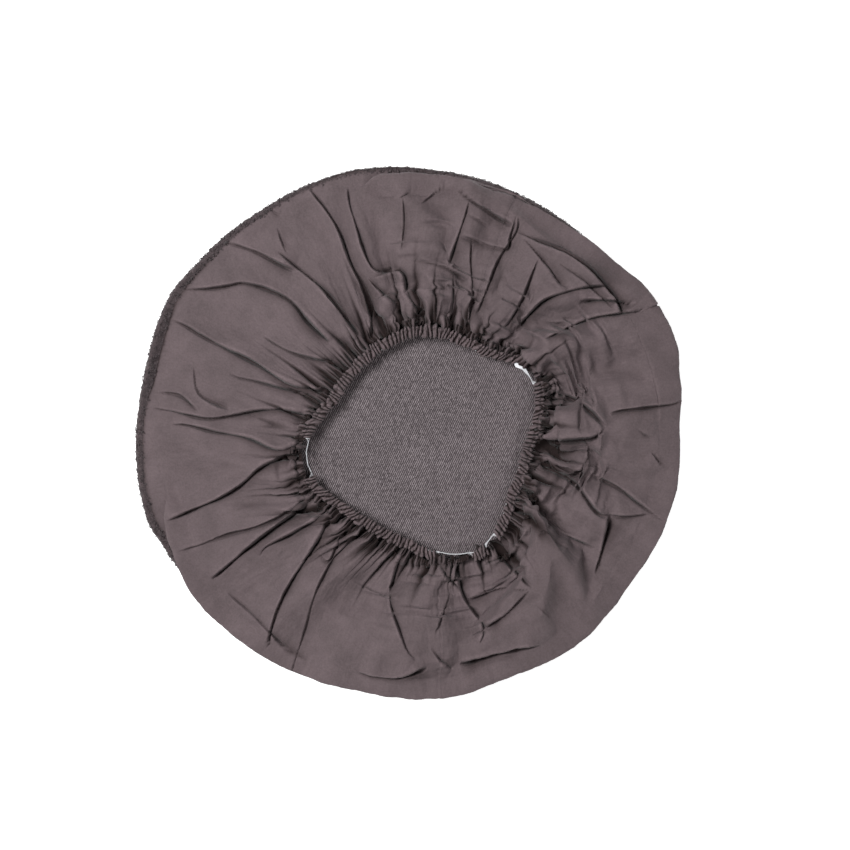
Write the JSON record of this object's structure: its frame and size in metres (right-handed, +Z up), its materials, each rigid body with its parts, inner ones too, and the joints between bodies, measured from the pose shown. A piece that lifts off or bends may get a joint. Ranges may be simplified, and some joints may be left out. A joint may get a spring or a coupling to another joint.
{
  "type": "wheel cover",
  "caption": "Round fabric cover with a gathered elastic hem, lying on its pile face with the mouth up, for a caravan or motorhome wheel.",
  "frame": {"origin": "centre of the round face, on the surface that the pile lies on", "axes": "+Z up from the face to the open mouth; +X towards the side that the mouth is shifted to; +Y towards the skirt's upper seam"},
  "size_m": [0.715, 0.715, 0.0451],
  "materials": {
    "pile": "dark brown curly pile",
    "lining": "grey-brown heather twill",
    "skirt": "smooth taupe-brown polycotton",
    "thread": "brown sewing thread",
    "elastic": "white braided elastic"
  },
  "bodies": {
    "cover": {"face_pile": "pile", "face_lining": "lining", "skirt_left": "skirt", "skirt_right": "skirt", "rim_seam_thread": "thread", "rim_overlock_thread": "thread", "side_seam_thread_top": "thread", "side_seam_thread_bottom": "thread"},
    "hem": {"hem_casing_top": "skirt", "hem_casing_left": "skirt", "hem_casing_bottom": "skirt", "hem_casing_right": "skirt", "hem_stitch_thread": "thread", "elastic_band": "elastic", "elastic_bartack": "thread"}
  },
  "joints": [
    {"name": "hem_lift", "type": "slide", "parent": "cover", "child": "hem", "axis": [0, 0, 1], "range_m": [0, 0.1]}
  ]
}
